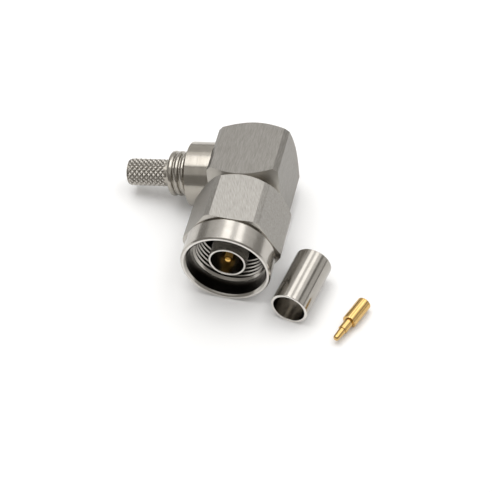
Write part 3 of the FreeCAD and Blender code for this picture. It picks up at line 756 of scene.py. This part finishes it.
class DressInnerPieces(bpy.types.Operator):
    """Gives the insulators, gasket, retaining ring and cap their materials"""

    bl_idname = "coaxial_plug.inner_pieces"
    bl_label = "Inner pieces"

    def execute(self, context):
        for name in ("front_insulator", "cap_insulator", "arm_insulator"):
            dress(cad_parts[name], PTFE)
        dress(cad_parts["interface_gasket"], SILICONE)
        dress(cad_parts["retaining_ring"], BRONZE)
        dress(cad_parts["rear_cap"], LATHE_ELBOW)
        return {"FINISHED"}


# The camera was fitted to the photograph. Its focal length and centre are in pixels of it.
AZIMUTH, ELEVATION = math.radians(12.2), math.radians(49.15)
FRAME_PX, FOCAL_PX, CENTRE_PX = 492.0, 1700.0, 260.8
SENSOR_MM = 36.0
PX_PER_MM = math.exp(1.52)
DISTANCE = FOCAL_PX / PX_PER_MM * MM
AIM_DEPTH, AIM_RIGHT, AIM_DOWN = 23.68 * MM, 2.11 * MM, 13.95 * MM
TABLE_WHITE = 0.955
ROOM_COLOUR = (0.32, 0.31, 0.295, 1)
# Name, place, aim, width and height in metres, and radiance, where 1 looks as white as paper.
SOFTBOXES = (
    ("overhead", (0.06, 0.22, 0.66), (0.06, 0.22, 0), 1.3, 0.84, 0.95),
    ("left_strip", (-0.17, 0.085, 0.62), (-0.17, 0.085, 0), 0.34, 0.47, 2.4),
    ("left_rear_strip", (-0.115, 0.53, 0.62), (-0.115, 0.53, 0), 0.23, 0.26, 1.3),
    ("right_strip", (0.2575, 0.295, 0.62), (0.2575, 0.295, 0), 0.205, 0.69, 1.3),
    ("front_panel", (-0.1, -0.50, 0.62), (-0.1, -0.50, 0), 0.9, 0.5, 0.4),
    ("right_wall", (0.95, 0.35, 0.33), (0, 0.35, 0.33), 0.6, 0.45, 0.5),
    ("rear_wall", (0.0, 0.85, 0.40), (0, 0, 0.05), 1.8, 0.7, 0.42),
)


class SetStage(bpy.types.Operator):
    """Sets up the white table, the softboxes and the camera"""

    bl_idname = "coaxial_plug.stage"
    bl_label = "Stage"

    def execute(self, context):
        light = context.scene.stage_light
        self.table(light.backdrop)
        self.world(context.scene)
        for name, place, aim, width, height, radiance in SOFTBOXES:
            self.softbox(name, place, aim, width, height, radiance * light.lamp)
        self.camera(context.scene)
        return {"FINISHED"}

    def table(self, brightness):
        deselect()
        bpy.ops.mesh.primitive_plane_add(size=4.0, location=(0, 0, FLOOR))
        table = bpy.context.object
        table.name = "white_table"
        bpy.ops.object.transform_apply(location=True, rotation=True, scale=True)
        material = empty_material("white_acrylic_table")
        tree = material.node_tree
        rays = node(tree, "ShaderNodeLightPath")
        seen = node(tree, "ShaderNodeMath", {"operation": "MAXIMUM"},
                    {0: rays.outputs["Is Camera Ray"], 1: rays.outputs["Is Glossy Ray"]})
        seen = node(tree, "ShaderNodeMath", {"operation": "MAXIMUM"},
                    {0: seen.outputs["Value"], 1: rays.outputs["Is Transmission Ray"]})
        glow = node(tree, "ShaderNodeEmission", {"Strength": 1.0, "Color": (*[brightness] * 3, 1)})
        matt = node(tree, "ShaderNodeBsdfDiffuse", {"Color": (*[TABLE_WHITE] * 3, 1)})
        both = node(tree, "ShaderNodeAddShader",
                    links={0: matt.outputs["BSDF"], 1: glow.outputs["Emission"]})
        mix = node(tree, "ShaderNodeMixShader", links={
            0: seen.outputs["Value"], 1: matt.outputs["BSDF"], 2: both.outputs["Shader"]})
        node(tree, "ShaderNodeOutputMaterial", links={"Surface": mix.outputs["Shader"]})
        table.data.materials.append(material)

    def world(self, scene):
        room = bpy.data.worlds.new("studio_room")
        room.use_nodes = True
        room.node_tree.nodes["Background"].inputs["Color"].default_value = ROOM_COLOUR
        scene.world = room

    def softbox(self, name, place, aim, width, height, radiance):
        deselect()
        bpy.ops.object.light_add(type="AREA", location=place)
        lamp = bpy.context.object
        lamp.name = name
        lamp.data.shape = "RECTANGLE"
        lamp.data.size, lamp.data.size_y = width, height
        # A softbox of this power has just that radiance.
        lamp.data.energy = radiance * math.pi * width * height
        turn = (Vector(aim) - Vector(place)).to_track_quat("-Z", "Y")
        lamp.rotation_euler = turn.to_euler()

    def camera(self, scene):
        back = Vector((math.sin(AZIMUTH) * math.cos(ELEVATION),
                       -math.cos(AZIMUTH) * math.cos(ELEVATION), math.sin(ELEVATION)))
        right = Vector((math.cos(AZIMUTH), math.sin(AZIMUTH), 0))
        up = back.cross(right)
        target = Vector((0, AIM_DEPTH, 0)) + right * AIM_RIGHT - up * AIM_DOWN
        deselect()
        bpy.ops.object.camera_add(location=target + back * DISTANCE)
        camera = bpy.context.object
        camera.matrix_world = Matrix.Translation(camera.location) @ Matrix(
            (right, up, back)).transposed().to_4x4()
        camera.data.sensor_width = SENSOR_MM
        camera.data.lens = FOCAL_PX / FRAME_PX * SENSOR_MM
        camera.data.shift_x = -(CENTRE_PX - FRAME_PX / 2) / FRAME_PX
        camera.data.clip_start, camera.data.clip_end = 0.01, 10.0
        scene.camera = camera


class CoaxialPlugPanel(bpy.types.Panel):
    """Lists the pieces of the plug."""

    bl_idname = "VIEW3D_PT_coaxial_plug"
    bl_label = "Coaxial plug"
    bl_space_type = "VIEW_3D"
    bl_region_type = "UI"
    bl_category = "Coaxial plug"

    def draw(self, context):
        for name in GROUPS:
            group = getattr(context.scene, name)
            for key in group.bl_rna.properties.keys():
                if key not in ("rna_type", "name"):
                    self.layout.prop(group, key)
        for operator in STEPS:
            self.layout.operator(operator.bl_idname)


GROUPS = {"nut_sizes": NutSizes, "arm_sizes": ArmSizes, "stage_light": StageLight}
STEPS = (DressCouplingNut, DressShell, DressElbow, DressCableArm, DressPin, DressSleeve,
         DressContacts, DressInnerPieces, SetStage)


def register():
    for group in GROUPS.values():
        bpy.utils.register_class(group)
    for name, group in GROUPS.items():
        setattr(bpy.types.Scene, name, bpy.props.PointerProperty(type=group))
    for part in (*STEPS, CoaxialPlugPanel):
        bpy.utils.register_class(part)


def unregister():
    for part in (CoaxialPlugPanel, *reversed(STEPS)):
        bpy.utils.unregister_class(part)
    for name in GROUPS:
        delattr(bpy.types.Scene, name)
    for group in GROUPS.values():
        bpy.utils.unregister_class(group)


LATHE_NUT = lathe_metal("turned_nickel_plated_nut", "#BEBAB4", "#A9A59E", ALONG_MATING, 0.2, 0.25,
                        0.002)
# Painted shade: the counterbore wall is drawn near black, as the shade inside the nut's mouth.
SHADED_COUNTERBORE = lathe_metal("counterbore_with_painted_shade", "#514E4A", "#3C3935",
                                ALONG_MATING, 0.3, 0.25, 0.002)
# Painted highlight: the faced ends of the nut, the shell and the sleeve are lighter than the turned
# nickel, where they catch the light.
HIGHLIGHTED_END = lathe_metal("faced_end_with_painted_highlight", "#E2DFDA", "#D0CCC6", ALONG_MATING, 0.25, 0.25,
                        0.001)
HIGHLIGHTED_SLEEVE_END = lathe_metal("sleeve_end_with_painted_highlight", "#E6E3DE", "#D6D2CC", ALONG_SLEEVE,
                           0.25, 0.25, 0.001)
# Painted shade: the knurl's grooves get the darker root colour.
KNURL = knurled_metal("rolled_nickel_plated_knurl", "#CECAC4", "#8C877F", ALONG_ARM,
                      3.02, 2.84, 0.24)
LATHE_SHELL = lathe_metal("turned_nickel_plated_shell", "#B4B0AA", "#A19D96", ALONG_MATING, 0.2,
                          0.25, 0.003)
LATHE_ELBOW = lathe_metal("turned_nickel_plated_elbow_end", "#AFABA4", "#9D9992", ALONG_MATING,
                          0.3, 1.0, 0.0)
LATHE_ARM = lathe_metal("turned_nickel_plated_stub", "#AFAAA2", "#9B968D", ALONG_ARM, 0.18, 0.25,
                        0.004)
DRAWN_SLEEVE = lathe_metal("drawn_nickel_plated_sleeve", "#B0ACA6", "#9D9992", ALONG_SLEEVE, 0.15,
                           1.2, 0.0)
BRUSHED_NUT = brushed_metal("brushed_nickel_nut", "#AFACA7", "#8D8A85",
                            (0, 0, math.radians(18.7)), 0.45)
BRUSHED_ELBOW = brushed_metal("brushed_nickel_elbow", "#9D9A95", "#817E79",
                              (0, -ARM_ROLL, 0), 0.45)
GOLD_PIN = lathe_metal("gold_plate_on_pin", "#F4CF82", "#E2B257", ALONG_MATING, 0.34, 0.2, 0.0,
                       1.0)
GOLD_TIP = lathe_metal("polished_gold_plate_on_pin_tip", "#EBC275", "#D6A853", ALONG_MATING, 0.1,
                       0.2, 0.0)
GOLD_CONTACT = lathe_metal("gold_plate_on_cable_contact", "#DBBA80", "#C49F5C",
                           ALONG_CONTACT, 0.16, 0.2, 0.002)
BRONZE = lathe_metal("spring_bronze", "#B58A55", "#8C6538", ALONG_MATING, 0.3, 0.2, 0.002)
PTFE = moulded("machined_ptfe", "#EFEDE8", "#E2DFD8", 0.45, 0.8)
SILICONE = moulded("black_silicone_rubber", "#1E1E1E", "#141414", 0.6, 0.5)


def main():
    register()
    for step in STEPS:
        section, name = step.bl_idname.split(".")
        getattr(getattr(bpy.ops, section), name)()
    scene = bpy.context.scene
    scene.view_settings.view_transform = "Standard"


if __name__ == "__main__":
    main()
